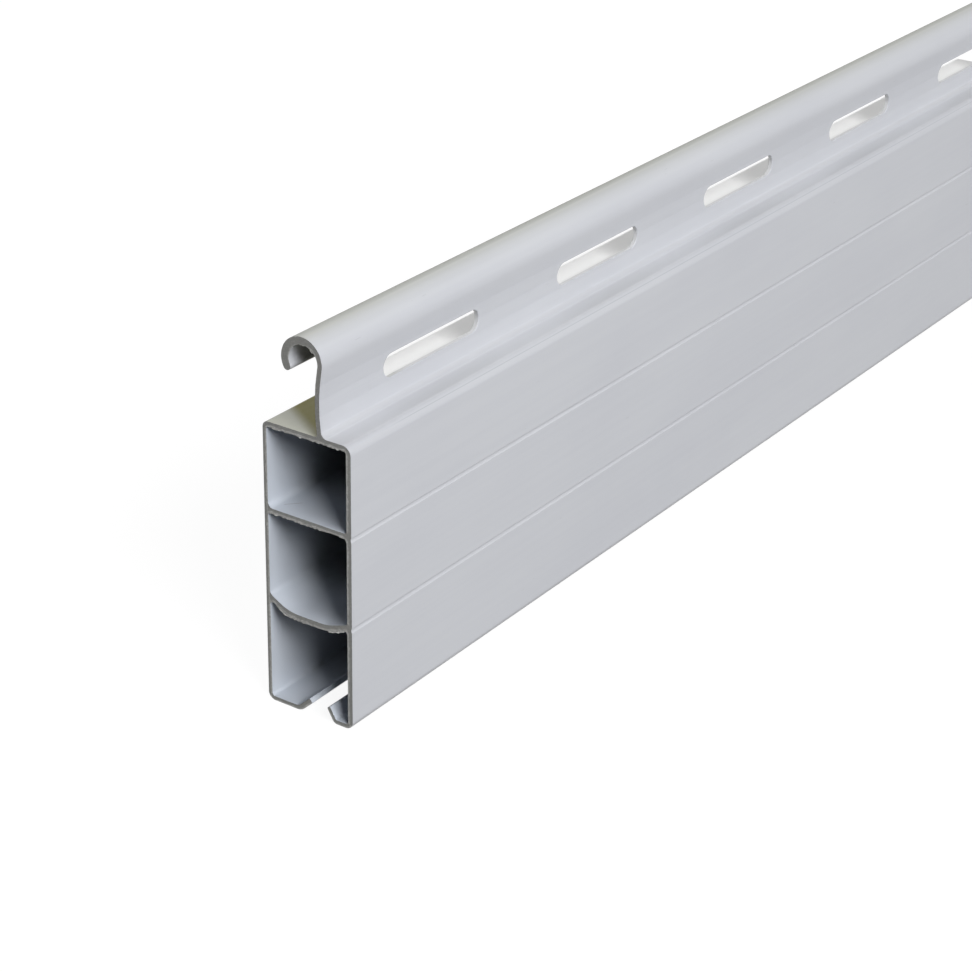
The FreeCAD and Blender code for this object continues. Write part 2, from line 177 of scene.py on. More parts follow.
class FinishColours(bpy.types.PropertyGroup):
    """Colours of the plastic."""

    face: tone("Face", "Light cool grey of the skin", 198, 200, 205)
    shade: tone("Shade", "Slightly darker patches of the skin", 193, 195, 201)
    # painted light: the room side behind the neck is painted paler to offset the neck's shade
    room_side: tone("Room side", "Paler plastic behind the neck", 250, 250, 249)
    # painted shade on the room side near the sawn end and on the crest's top
    shade_grey: tone("Dull", "Rubbed ledge close to the sawn end", 157, 158, 148)
    # painted yellowish shade on the ledge beside the neck
    olive_shade: tone("Stained", "Yellowed plastic of the ledge beside the neck", 100, 95, 5)
    # painted shade inside the hook
    hook_shade: tone("Dirt", "Dirt gathered inside the hook", 79, 73, 22)
    hollow: tone("Hollow", "Clean plastic of the chambers and the channel", 193, 199, 208)
    # painted shade deep in the chambers and the channel
    inside: tone("Inside", "Dusty plastic deep in the chambers", 104, 108, 108)
    # the lit side of a sawn wall; its upper and outer side takes painted shade
    sawn: tone("Sawn", "Rough lower side of a sawn wall", 213, 213, 210)
    # random darker grains, and also the painted shade of the upper and outer side of a sawn
    # wall
    sawn_dark_and_shade: tone("Sawn dark", "Smeared upper and outer side of a sawn wall", 150, 150, 147)
    # painted shadow along the outline on the shaded side of a sawn wall
    sawn_rim_shadow: tone("Sawn rim", "Dark outline of the sawn walls", 104, 104, 104)
    burr: tone("Burr", "Torn pale plastic along the cut", 240, 240, 235)
    # real dust in the scratches; also painted shade in the fold, on the crest's far edge, the
    # ledge's back edge and the foot
    grime_and_shade: tone("Grime", "Dust in scratches, folds and edges", 120, 120, 118)
    roughness: FloatProperty(
        name="Roughness", description="Satin gloss of the skin", default=0.42,
        min=0.0, max=1.0)


class StageLook(bpy.types.PropertyGroup):
    """Floor, light and camera."""

    floor_size: FloatProperty(
        name="Floor size", description="Width of the floor", default=12.0,
        min=0.1, unit="LENGTH")
    left_power: FloatProperty(
        name="Left light", description="Power of the soft light at the sawn end",
        default=15.7, min=0.0)
    right_power: FloatProperty(
        name="Right light", description="Power of the soft light at the front right",
        default=0.7, min=0.0)
    back_power: FloatProperty(
        name="Back light", description="Power of the soft light behind", default=10.0,
        min=0.0)
    sky: FloatProperty(
        name="Sky", description="Even light from all round", default=0.05, min=0.0)
    bounce: FloatProperty(
        name="Bounce", description="Share of light that the floor throws back",
        default=0.12, min=0.0, max=1.0)
    lens: FloatProperty(
        name="Lens", description="Focal length on a 36 mm sensor", default=94.164)
    eye: FloatVectorProperty(
        name="Eye", description="Where the camera stands", size=3,
        default=(-0.32384, -0.18080, 0.17430), subtype="XYZ", precision=5)


# Section outline

ARC_STEP = math.radians(5.0)
HOLD = 0.04 * MM


def arc(centre, radius, start, end):
    """Points along an arc, by its angles, in either direction."""
    steps = max(2, math.ceil(abs(end - start) / ARC_STEP))
    turns = (start + (end - start) * i / steps for i in range(steps + 1))
    return [centre + Vector((math.cos(t), math.sin(t))) * radius for t in turns]


def rounded(before, corner, after, radius):
    """The points that round one corner of an outline."""
    arriving = (corner - before).normalized()
    leaving = (after - corner).normalized()
    half_turn = arriving.angle(leaving) / 2
    setback = radius * math.tan(half_turn)
    to_centre = (leaving - arriving).normalized() * (radius / math.cos(half_turn))
    centre = corner + to_centre
    first = corner - arriving * setback - centre
    last = corner + leaving * setback - centre
    start = math.atan2(first.y, first.x)
    turn = math.atan2(first.cross(last), first.dot(last))
    return arc(centre, radius, start, start + turn)


def rounded_loop(corners):
    """All points of a closed outline with rounded corners, corner by corner."""
    spots = [Vector(c[:2]) for c in corners]
    count = len(spots)
    return [
        rounded(spots[i - 1], spots[i], spots[(i + 1) % count], corners[i][2])
        for i in range(count)
    ]


def held(points):
    """Adds points close to both ends of each straight run, which keep it looking flat."""
    out = []
    for i, spot in enumerate(points):
        follower = points[(i + 1) % len(points)]
        out.append(spot)
        run = follower - spot
        if run.length > 8 * HOLD:
            way = run.normalized() * HOLD
            out += [spot + way, follower - way]
    return out


def merged(points):
    """Drops points that fall on the one before."""
    out = []
    for spot in points:
        if not out or (spot - out[-1]).length > 1e-7:
            out.append(spot)
    if (out[0] - out[-1]).length < 1e-7:
        out.pop()
    return out


def neck_points(s):
    """Neck and hook, from the back of the ledge round the hook to its front."""
    foot = Vector((-s.thickness / 2 + s.neck_setback, s.box_height - s.top_wall / 2))
    centre = Vector((s.hook_offset, s.height - s.hook_outer))
    span = foot - centre
    reach = span.length
    along = (reach ** 2 + (s.hook_outer + s.neck_bow) ** 2 - s.neck_bow ** 2) / (2 * reach)
    aside = math.sqrt((s.hook_outer + s.neck_bow) ** 2 - along ** 2)
    span.normalize()
    bow = centre + span * along + Vector((span.y, -span.x)) * aside
    to_hook = (centre - bow).normalized()
    join_turn = math.atan2(to_hook.y, to_hook.x)
    back_radius = s.neck_bow + s.neck_wall
    inner_centre = bow + to_hook * (back_radius + s.hook_inner)

    def fillet(radius, reach_out):
        """Centre of the fillet between the bow and the ledge."""
        rise = s.box_height + radius - bow.y
        return Vector((bow.x + math.sqrt(reach_out ** 2 - rise ** 2), rise + bow.y))

    back_fillet = fillet(s.neck_back_fillet, back_radius + s.neck_back_fillet)
    front_fillet = fillet(s.neck_front_fillet, s.neck_bow - s.neck_front_fillet)
    back_foot_turn = (back_fillet - bow).angle_signed(Vector((1, 0)))
    front_foot_turn = (front_fillet - bow).angle_signed(Vector((1, 0)))
    tip_turn = -s.hook_turn
    tip_way = Vector((math.cos(tip_turn), math.sin(tip_turn)))
    outer_tip = centre + tip_way * s.hook_outer
    offset = centre - inner_centre
    side = offset.dot(tip_way)
    root = math.sqrt(side ** 2 - offset.dot(offset) + s.hook_inner ** 2)
    inner_tip = centre + tip_way * (root - side)
    tip_centre = (outer_tip + inner_tip) / 2
    inner_end = inner_tip - inner_centre

    points = arc(back_fillet, s.neck_back_fillet, -math.pi / 2,
                 -math.pi + back_foot_turn)
    points += arc(bow, back_radius, back_foot_turn, join_turn)
    points += arc(inner_centre, s.hook_inner, math.pi + join_turn,
                  math.atan2(inner_end.y, inner_end.x))
    points += arc(tip_centre, (outer_tip - inner_tip).length / 2, math.pi + tip_turn,
                  2 * math.pi + tip_turn)
    points += arc(centre, s.hook_outer, tip_turn, math.pi + join_turn)
    points += arc(bow, s.neck_bow, join_turn, front_foot_turn)
    points += arc(front_fillet, s.neck_front_fillet, front_foot_turn, -math.pi / 2)
    return points


def face_lines(s):
    """The two shallow lines of the outer face, from the top down."""
    points = []
    half_turn = math.acos((s.line_radius - s.line_depth) / s.line_radius)
    face = -s.thickness / 2
    for height in (s.upper_line, s.lower_line):
        centre = Vector((face - s.line_radius + s.line_depth, height))
        points += arc(centre, s.line_radius, half_turn, -half_turn)
    return points


def skin_outline(s):
    """Outer outline of the whole section, with the open channel between the lips."""
    face, back = -s.thickness / 2, s.thickness / 2
    inside_front, inside_back = face + s.front_wall, back - s.back_wall
    back_bend = back - s.back_flat
    front_bend = face + s.front_flat
    back_leg = Vector((-math.cos(s.back_turn), math.sin(s.back_turn)))
    back_across = Vector((math.sin(s.back_turn), math.cos(s.back_turn)))
    front_leg = Vector((math.cos(s.front_turn), math.sin(s.front_turn)))
    front_across = Vector((-math.sin(s.front_turn), math.cos(s.front_turn)))
    back_end = Vector((back_bend, 0)) + back_leg * s.back_leg
    back_end_in = back_end + back_across * s.back_tip
    front_end = Vector((front_bend, 0)) + front_leg * s.front_leg
    front_end_in = front_end + front_across * s.front_tip
    back_in = (back_bend + s.back_tip / math.sin(s.back_turn)
               - s.lip_wall / math.tan(s.back_turn))
    front_in = (front_bend - s.front_tip / math.sin(s.front_turn)
                + s.lip_wall / math.tan(s.front_turn))
    corners = [
        (face, s.box_height, s.shoulder_radius),
        (face, 0, s.foot_radius),
        (front_bend, 0, s.front_bend),
        (*front_end, s.lip_edge),
        (*front_end_in, s.lip_edge),
        (front_in, s.lip_wall, s.front_bend - s.lip_wall),
        (inside_front, s.lip_wall, s.chamber_radius),
        (inside_front, s.dish_height + s.dish_front_rise, s.chamber_radius),
        (inside_front + s.dish_front_run, s.dish_height, s.dish_bend),
        (inside_back - s.dish_back_run, s.dish_height, s.dish_bend),
        (inside_back, s.dish_height + s.dish_back_rise, s.chamber_radius),
        (inside_back, s.lip_wall, s.chamber_radius),
        (back_in, s.lip_wall, s.back_bend - s.lip_wall),
        (*back_end_in, s.lip_edge),
        (*back_end, s.lip_edge),
        (back_bend, 0, s.back_bend),
        (back, 0, s.foot_radius),
        (back, s.box_height, s.ledge_radius),
    ]
    arcs = rounded_loop(corners)
    points = arcs[0] + face_lines(s)
    for corner_arc in arcs[1:]:
        points += corner_arc
    points += neck_points(s)
    return held(merged(points))


def chamber_outlines(s):
    """Outlines of the two closed chambers, the other way round from the skin's."""
    face, back = -s.thickness / 2, s.thickness / 2
    inside_front, inside_back = face + s.front_wall, back - s.back_wall
    dish_top = s.dish_height + s.dish_wall
    web_top = s.web_height + s.web_wall
    roof = s.box_height - s.top_wall
    middle = [
        (inside_front, s.web_height, s.root_radius),
        (inside_back, s.web_height, s.chamber_radius),
        (inside_back, dish_top + s.dish_back_rise, s.root_radius),
        (inside_back - s.dish_back_run, dish_top, s.dish_bend),
        (inside_front + s.dish_front_run, dish_top, s.dish_bend),
        (inside_front, dish_top + s.dish_front_rise, s.chamber_radius),
    ]
    top = [
        (inside_front, roof, s.chamber_radius),
        (inside_back, roof, s.chamber_radius),
        (inside_back, web_top, s.root_radius),
        (inside_front, web_top, s.chamber_radius),
    ]
    loops = []
    for corners in (middle, top):
        points = [spot for corner_arc in rounded_loop(corners) for spot in corner_arc]
        loops.append(held(merged(points)))
    return loops


# where the burr starts and ends along the inside of the hook
HOOK_BURR = (math.radians(138), math.radians(30))


def burr_paths(s):
    """Lower edges of the level walls, where the saw came out and tore the plastic."""
    face, back = -s.thickness / 2, s.thickness / 2
    front, rear = face + s.front_wall + 0.3 * MM, back - s.back_wall - 0.3 * MM
    roof = s.box_height - s.top_wall
    paths = [
        [Vector((rear, roof)), Vector((front, roof))],
        [Vector((rear, s.web_height)), Vector((front, s.web_height))],
        [Vector((rear - 0.4 * MM, s.dish_height + s.dish_back_rise * 0.75)),
         Vector((rear - s.dish_back_run + 0.9 * MM, s.dish_height + 0.14 * MM)),
         Vector((0.5 * MM, s.dish_height)),
         Vector((front + s.dish_front_run - 1.2 * MM, s.dish_height + 0.14 * MM)),
         Vector((front + 0.3 * MM, s.dish_height + s.dish_front_rise * 0.75))],
    ]
    centre = Vector((s.hook_offset, s.height - s.hook_outer))
    paths.append(arc(centre, s.hook_inner, *HOOK_BURR))
    return paths


# Nodes written as expressions


class Wire:
    """One output of a node.  Sums, products and powers of wires add Math nodes."""

    def __init__(self, plan, socket):
        self.plan = plan
        self.socket = socket

    def maths(self, operation, *values, clamp=False):
        return self.plan.node(
            "ShaderNodeMath", {"operation": operation, "use_clamp": clamp},
            dict(enumerate(values)))

    def __add__(self, other):
        return self.maths("ADD", self, other)

    def __radd__(self, other):
        return self.maths("ADD", other, self)

    def __sub__(self, other):
        return self.maths("SUBTRACT", self, other)

    def __rsub__(self, other):
        return self.maths("SUBTRACT", other, self)

    def __mul__(self, other):
        return self.maths("MULTIPLY", self, other)

    def __rmul__(self, other):
        return self.maths("MULTIPLY", other, self)

    def __truediv__(self, other):
        return self.maths("DIVIDE", self, other)

    def __rtruediv__(self, other):
        return self.maths("DIVIDE", other, self)

    def __neg__(self):
        return self.maths("MULTIPLY", self, -1.0)

    def __gt__(self, other):
        return self.maths("GREATER_THAN", self, other)

    def __lt__(self, other):
        return self.maths("LESS_THAN", self, other)

    def size(self):
        return self.maths("ABSOLUTE", self)

    def squared(self):
        return self.maths("POWER", self, 2.0)

    def at_least(self, other):
        return self.maths("MAXIMUM", self, other)

    def held(self):
        """The value kept between 0 and 1."""
        return self.maths("ADD", self, 0.0, clamp=True)

    def rise(self, low, high):
        """0 below low, 1 above high and a soft step between; also with low above high."""
        return self.plan.node(
            "ShaderNodeMapRange", {"interpolation_type": "SMOOTHSTEP"},
            {"Value": self, "From Min": low, "From Max": high})

    def between(self, low, high, soft):
        """1 between two values, with soft ends."""
        return self.rise(low - soft, low + soft) * self.rise(high + soft, high - soft)


class Plan:
    """Adds nodes to a tree, for shapes and finishes alike."""

    def __init__(self, tree):
        self.tree = tree

    def node(self, kind, settings=None, values=None, output=0):
        """A node of a kind, with its settings first and then its sockets' values."""
        made = self.tree.nodes.new(kind)
        for name, value in (settings or {}).items():
            setattr(made, name, value)
        for key, value in (values or {}).items():
            socket = made.inputs[key]
            if isinstance(value, Wire):
                self.tree.links.new(value.socket, socket)
            else:
                socket.default_value = value
        if output is None:
            return made
        return Wire(self, made.outputs[output])

    def vector(self, x, y, z):
        return self.node("ShaderNodeCombineXYZ", None, {0: x, 1: y, 2: z})

    def vectors(self, operation, *values, output=0):
        return self.node(
            "ShaderNodeVectorMath", {"operation": operation}, dict(enumerate(values)),
            output)

    def scaled(self, vector, factor):
        return self.node(
            "ShaderNodeVectorMath", {"operation": "SCALE"}, {0: vector, "Scale": factor})

    def parts(self, vector):
        split = self.node("ShaderNodeSeparateXYZ", None, {0: vector}, None)
        return [Wire(self, socket) for socket in split.outputs]


class ShapePlan(Plan):
    """A Geometry Nodes tree with named inputs for its sizes."""

    KINDS = {
        float: "NodeSocketFloat", int: "NodeSocketInt",
        bpy.types.Material: "NodeSocketMaterial",
    }

    def __init__(self, name, inputs):
        super().__init__(bpy.data.node_groups.new(name, "GeometryNodeTree"))
        face = self.tree.interface
        face.new_socket("Geometry", in_out="INPUT", socket_type="NodeSocketGeometry")
        face.new_socket("Geometry", in_out="OUTPUT", socket_type="NodeSocketGeometry")
        self.inputs = inputs
        self.identifiers = {}
        for label, value in inputs.items():
            kind = self.KINDS[type(value)]
            socket = face.new_socket(label, in_out="INPUT", socket_type=kind)
            self.identifiers[label] = socket.identifier
        self.entry = self.tree.nodes.new("NodeGroupInput")
        self.exit = self.tree.nodes.new("NodeGroupOutput")

    def value(self, label):
        return Wire(self, self.entry.outputs[label])

    def ragged(self, across, height, along, scale, detail=3.0, roughness=0.5):
        """Noise over the section, drawn by the seed."""
        return self.node(
            "ShaderNodeTexNoise", {"noise_dimensions": "4D"},
            {"Vector": self.vector(across, height, along), "W": self.value("Seed"),
             "Scale": scale, "Detail": detail, "Roughness": roughness})

    def storing(self, geometry, name, value, kind="FLOAT", domain="POINT"):
        """The geometry with a named attribute of its points or edges."""
        return self.node(
            "GeometryNodeStoreNamedAttribute", {"data_type": kind, "domain": domain},
            {"Geometry": geometry, "Name": name, "Value": value})

    def joined(self, pieces):
        join = self.node("GeometryNodeJoinGeometry", None, None, None)
        for piece in pieces:
            self.tree.links.new(piece.socket, join.inputs[0])
        return Wire(self, join.outputs[0])

    def end(self, geometry, finishes):
        """Realize Instances, then Set Material for each finish and its faces."""
        geometry = self.node("GeometryNodeRealizeInstances", None, {0: geometry})
        for label, faces in finishes:
            values = {"Geometry": geometry, "Material": self.value(label)}
            if faces is not None:
                values["Selection"] = faces
            geometry = self.node("GeometryNodeSetMaterial", None, values)
        self.tree.links.new(geometry.socket, self.exit.inputs[0])

    def make(self, name, start):
        """Runs the tree on the starting shape and returns the result as a plain mesh."""
        source = bpy.data.objects.new(name + "_plan", start)
        bpy.context.scene.collection.objects.link(source)
        modifier = source.modifiers.new(name, "NODES")
        modifier.node_group = self.tree
        for label, value in self.inputs.items():
            modifier[self.identifiers[label]] = value
        bpy.context.view_layer.update()
        depsgraph = bpy.context.evaluated_depsgraph_get()
        mesh = bpy.data.meshes.new_from_object(
            source.evaluated_get(depsgraph), preserve_all_data_layers=True,
            depsgraph=depsgraph)
        source.modifiers.remove(modifier)
        bpy.data.objects.remove(source)
        if not mesh.polygons:
            raise RuntimeError(name + " came out empty")
        mesh.name = name
        made = bpy.data.objects.new(name, mesh)
        bpy.context.scene.collection.objects.link(made)
        return made


# Finishes


class Finish(Plan):
    """A material of one plastic surface, laid out in millimetres on the object."""

    def __init__(self, name):
        self.material = bpy.data.materials.new(name)
        self.material.use_nodes = True
        super().__init__(self.material.node_tree)
        self.tree.nodes.clear()
        self.surface = self.node("ShaderNodeBsdfPrincipled", None, None, None)
        out = self.node("ShaderNodeOutputMaterial", None, None, None)
        self.tree.links.new(self.surface.outputs[0], out.inputs[0])
        metres = self.node("ShaderNodeTexCoord", None, None, "Object")
        self.facing = Wire(self, metres.socket.node.outputs["Normal"])
        self.place = self.scaled(metres, 1 / MM)
        self.x, self.y, self.z = self.parts(self.place)

    def noise(self, along, across, detail=2.0, roughness=0.5, shift=0.0):
        """Noise by waves a millimetre, along the slat and across it."""
        spot = self.vector(self.x * along + shift, self.y * across, self.z * across)
        return self.node(
            "ShaderNodeTexNoise", None,
            {"Vector": spot, "Scale": 1.0, "Detail": detail, "Roughness": roughness})

    def from_hook(self, section):
        """Square of the distance from the middle of the hook."""
        across = self.y - section.hook_offset / MM
        up = self.z - (section.height - section.hook_outer) / MM
        return across.squared() + up.squared()

    def mix(self, share, one, other):
        """Blend of two colours by a share from 0 to 1."""
        return self.node(
            "ShaderNodeMix", {"data_type": "RGBA"},
            {"Factor": share, 6: one, 7: other}, 2)

    def scratch(self, start, end, width):
        """1 on a fine straight mark between two points in millimetres, and 0 off it."""
        start, end = Vector(start), Vector(end)
        run = end - start
        away = self.vectors("SUBTRACT", self.place, tuple(start))
        share = (self.vectors("DOT_PRODUCT", away, tuple(run), output=1)
                 / run.length_squared).held()
        nearest = self.scaled(tuple(run), share)
        distance = self.vectors("DISTANCE", away, nearest, output=1)
        return distance.rise(width, width * 0.3)

    def bump(self, height, strength, distance):
        made = self.node(
            "ShaderNodeBump", None,
            {"Strength": strength, "Distance": distance, "Height": height})
        self.tree.links.new(made.socket, self.surface.inputs["Normal"])

    def set(self, **values):
        """Values or wires for the surface's sockets, with _ for a space."""
        for name, value in values.items():
            socket = self.surface.inputs[name.replace("_", " ")]
            if isinstance(value, Wire):
                self.tree.links.new(value.socket, socket)
            else:
                socket.default_value = value


def opaque(colour):
    return (*colour, 1.0)


# ends of the scored line on the straight web, in millimetres
SCORED = ((-98.1, 5.25, 28.45), (-96.4, 3.7, 28.45))


def skin_finish(section, colours):
    """Extruded satin PVC: fine lines along the slat, faint clouds, a little wear."""
    paint = Finish("slat skin")
    from_end = paint.x - SLAT_LOW.x / MM
    above_box = paint.z - section.box_height / MM
    below_crown = section.height / MM - paint.z
    clouds = paint.noise(0.03, 0.07, 3.0, 0.55)
    streaks = paint.noise(0.012, 1.1, 3.0, 0.6, shift=3.1)
    grain = paint.noise(2.2, 2.6, 3.0, 0.6, shift=7.7)
    die_lines = paint.noise(0.004, 3.4, 2.0, 0.7, shift=5.3)
    shade = (clouds.rise(0.32, 0.68) * 0.6 + streaks.rise(0.35, 0.65) * 0.4
             + (grain - 0.5) * 0.25).held()
    colour = paint.mix(shade, opaque(colours.shade), opaque(colours.face))

    # the room side of the neck and ledge is painted paler, a painted highlight against the
    # neck's shade, and close to the near end it takes painted shade with a yellowish tint
    _, to_back, upward = paint.parts(paint.facing)
    rear = to_back.rise(-0.25, 0.25)
    ledge = above_box.between(-0.7, 0.6, 0.2) * paint.y.rise(-2.3, -1.9)
    neck_back = above_box.rise(0.2, 0.8) * rear * paint.y.rise(0.6, 0.2)
    room_side = ledge.at_least(neck_back)
    ledge_edge = above_box.between(-1.1, 0.1, 0.1) * to_back.rise(0.3, 0.6)
    colour = paint.mix(room_side * 0.9, colour, opaque(colours.room_side))
    shade_wobble = paint.noise(0.22, 0.4, 1.5, 0.5, shift=8.3) - 0.5
    near_end = (from_end + shade_wobble * 4.0).rise(19.0, 8.4)
    by_neck = (from_end - paint.y * 0.6).rise(-0.1, 2.5) * 0.9 + 0.1
    low_down = (above_box + shade_wobble * 5.0).rise(5.9, 2.9)
    in_hook = paint.from_hook(section).rise(7.2, 6.4) * below_crown.rise(6.5, 5.5)
    hook_shade_side = paint.y.rise(2.2, 0.2).at_least(from_end.rise(0.8, 3.2) * 0.3)
    crest = to_back.rise(-1.0, 0.4) * below_crown.rise(2.6, 1.3)
    # painted shade on the room side near the cut end
    end_shade = near_end * (1.0 - neck_back * 0.5)
    colour = paint.mix(room_side * end_shade, colour, opaque(colours.shade_grey))
    # painted yellowish shade on the ledge beside the neck, near the cut end
    olive_shade = room_side * near_end * by_neck * low_down * (1.0 - neck_back * 0.7)
    colour = paint.mix(olive_shade, colour, opaque(colours.olive_shade))
    # painted shade inside the hook, on its front side and further in from the cut end
    colour = paint.mix(in_hook * hook_shade_side, colour, opaque(colours.hook_shade))
    # painted shade on the crest's top
    colour = paint.mix(crest * 0.8, colour, opaque(colours.shade_grey))
    # painted shade on the crest's far edge and, near the cut end, on the ledge's back edge
    far_edge = to_back.rise(0.3, 0.65) * below_crown.rise(2.3, 1.1) * 0.85
    colour = paint.mix(
        far_edge.at_least(ledge_edge * near_end * 0.6), colour, opaque(colours.grime_and_shade))

    # painted shade in the fold at the neck's foot, and a painted highlight on the level strip
    # before it
    fold = above_box.between(-1.2, 2.8, 0.5) * paint.y.rise(-1.6, -2.2)
    fillet = above_box.rise(-0.2, 0.2) * 0.11 + 0.06
    colour = paint.mix(
        fold * upward.between(0.35, 0.9, 0.2) * fillet, colour, opaque(colours.grime_and_shade))
    colour = paint.mix(
        fold * upward.rise(0.92, 0.99) * 0.14, colour, opaque(colours.room_side))

    # the chambers and the channel take a cool tint, and painted shade darkens them further in
    inside = (paint.y.between(-6.6, 6.7, 0.06) * paint.z.rise(0.35, 0.45)
              * above_box.rise(-0.3, -0.4))
    colour = paint.mix(inside, colour, opaque(colours.hollow))
    deep = (section.length / 2 / MM - paint.x.size()).rise(5.0, 15.0)
    closed = paint.z.rise(12.5, 14.5) * 0.45 + 0.4
    colour = paint.mix(inside * deep * closed, colour, opaque(colours.inside))
    # painted shade along the foot of the outer face
    foot = paint.z.rise(1.3, 0.3) * paint.y.rise(-5.5, -6.5)
    colour = paint.mix(foot * 0.5, colour, opaque(colours.grime_and_shade))

    # scratches of handling, one fine scored line on the web of the top chamber
    scored = paint.scratch(*SCORED, 0.05)
    rubbed = paint.noise(0.35, 5.0, 1.0, 0.5, shift=1.7)
    broken = paint.noise(0.05, 0.3, 2.0, 0.5, shift=9.1)
    rubs = rubbed.rise(0.73, 0.77) * broken.rise(0.55, 0.65)
    colour = paint.mix((scored + rubs * 0.25).held(), colour, opaque(colours.grime_and_shade))

    paint.set(
        Base_Color=colour,
        Roughness=colours.roughness + (streaks - 0.5) * 0.16 + (grain - 0.5) * 0.12
        + rubs * 0.12 + crest * 0.3 + olive_shade * 0.2,
        IOR=1.5,
    )
    paint.bump(
        grain * 0.35 + die_lines * 0.5 + streaks * 0.9 + clouds * 3.0
        - (scored + rubs) * 1.2, 0.5, 0.012 * MM)
    return paint.material


def sawn_finish(section, colours):
    """The cut wall: a rough core with painted shade and a painted shadow outline on its upper
    and outer side, scored by the blade.
    """
    paint = Finish("sawn plastic")
    rim = paint.node("ShaderNodeAttribute", {"attribute_name": "rim"}, None, "Fac")
    smeared = paint.node("ShaderNodeAttribute", {"attribute_name": "smeared"}, None, "Fac")
    # where the cap meets the rim row, it has halved what the outline had stored
    smeared = smeared * (2.0 - rim)
    # above the ledge the painted shade follows the distance from the hook's middle
    above = (paint.z - section.box_height / MM).rise(0.1, 0.5)
    thin = paint.from_hook(section) - paint.y.rise(0.6, -1.0) * 1.6
    smeared = smeared * (1.0 - above) + thin.rise(4.1, 6.2) * above
    tilt = paint.y * 0.35 + paint.z
    scores = paint.node(
        "ShaderNodeTexNoise", None,
        {"Vector": paint.vector(tilt * 5.0, paint.y * 0.4, paint.x), "Scale": 1.0,
         "Detail": 3.0})
    crumbs = paint.noise(4.0, 4.5, 4.0, 0.65, shift=2.2)
    core = paint.mix(
        (scores.rise(0.35, 0.65) * 0.3 + crumbs.rise(0.4, 0.7) * 0.3).held(),
        opaque(colours.sawn), opaque(colours.sawn_dark_and_shade))
    patches = paint.noise(1.1, 1.1, 2.0, 0.5, shift=6.1)
    ragged = crumbs - 0.5 + (patches - 0.5) * 1.3
    # painted shade on the upper and outer side of each wall
    dark_side = (smeared + ragged).rise(0.0, 0.4)
    core = paint.mix(
        dark_side * (1.0 - crumbs.rise(0.42, 0.68) * 0.4), core, opaque(colours.sawn_dark_and_shade))
    # painted shadow line along the outline, on the shaded side
    edge = (rim.rise(0.35, 0.85) * smeared * crumbs.rise(0.62, 0.38)).held()
    paint.set(
        Base_Color=paint.mix(edge * 0.8, core, opaque(colours.sawn_rim_shadow)),
        Roughness=0.62 + crumbs * 0.25,
    )
    paint.bump(crumbs + scores * 0.8, 0.6, 0.05 * MM)
    return paint.material


def burr_finish(colours):
    """Torn, stress-whitened plastic."""
    paint = Finish("torn burr")
    flecks = paint.noise(6.0, 6.0, 3.0, 0.6, shift=4.4)
    paint.set(
        Base_Color=paint.mix(
            flecks.rise(0.35, 0.6), opaque(colours.sawn), opaque(colours.burr)),
        Roughness=0.6 + flecks * 0.2,
    )
    paint.bump(flecks, 0.5, 0.03 * MM)
    return paint.material


# Shapes


def outline_curve(name, loops, closed):
    """Straight-sided splines through the points of flat outlines."""
    curve = bpy.data.curves.new(name, "CURVE")
    curve.dimensions = "3D"
    for loop in loops:
        spline = curve.splines.new("POLY")
        spline.points.add(len(loop) - 1)
        for spot, (y, z) in zip(spline.points, loop):
            spot.co = (y, z, 0.0, 1.0)
        spline.use_cyclic_u = closed
    return curve


# the section is drawn in X and Y and swept along Z, and this turn lays it along the slat
LAY_DOWN = (math.pi / 2, 0.0, math.pi / 2)
# waves a metre of the strayed cut edge, and of the burr's teeth and tufts
EDGE_WAVES, TOOTH_WAVES, TUFT_WAVES = 2600.0, 2400.0, 700.0
# edges that fold more than this stay sharp
SHARP_FOLD = math.radians(24)


